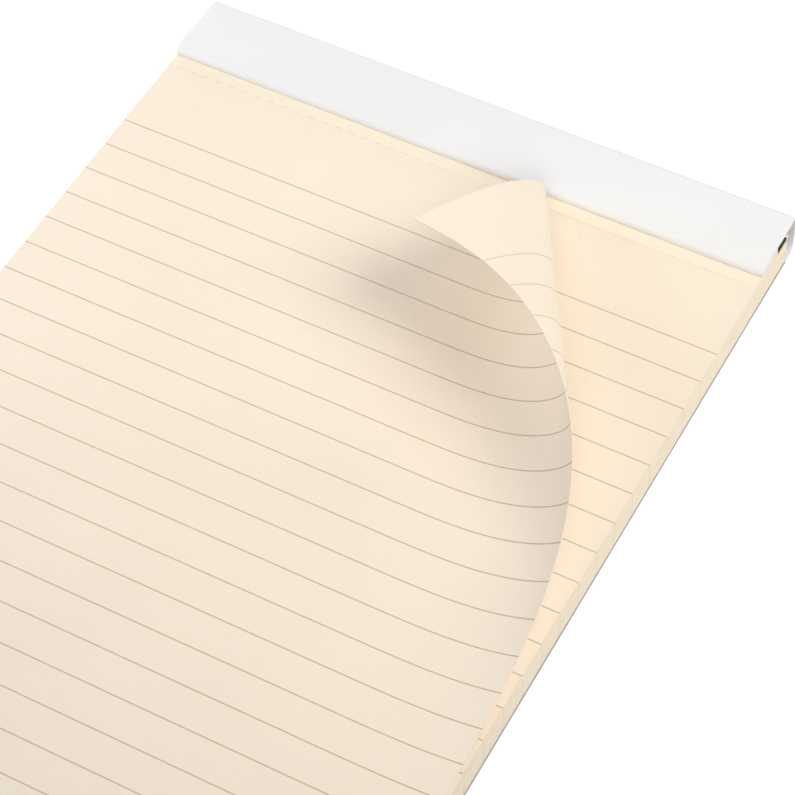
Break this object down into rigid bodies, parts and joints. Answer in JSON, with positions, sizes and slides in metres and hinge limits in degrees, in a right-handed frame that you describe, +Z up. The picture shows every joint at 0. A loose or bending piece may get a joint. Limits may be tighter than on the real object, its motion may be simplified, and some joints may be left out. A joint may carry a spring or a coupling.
{
  "type": "legal pad",
  "caption": "Top-bound ruled writing pad with a white folded headband, a perforated tear line and its top sheet half torn off and curling over.",
  "frame": {"origin": "middle of the underside, on the surface the pad lies on", "axes": "+X across the pad to the reader's right, +Y along the pad towards the bound head, +Z up out of the writing surface"},
  "size_m": [0.127, 0.2032, 0.0365],
  "materials": {
    "chipboard": "matte grey chipboard",
    "page_block": "matte ivory paper, ruled",
    "lifted_sheet": "matte ivory paper, ruled on both sides",
    "wire": "bright steel wire",
    "band_card": "smooth white coated card"
  },
  "bodies": {
    "root": {"backing_board": "chipboard", "sheet_block": "page_block", "top_sheet": "lifted_sheet", "staples": "wire", "headband": "band_card"}
  },
  "joints": []
}
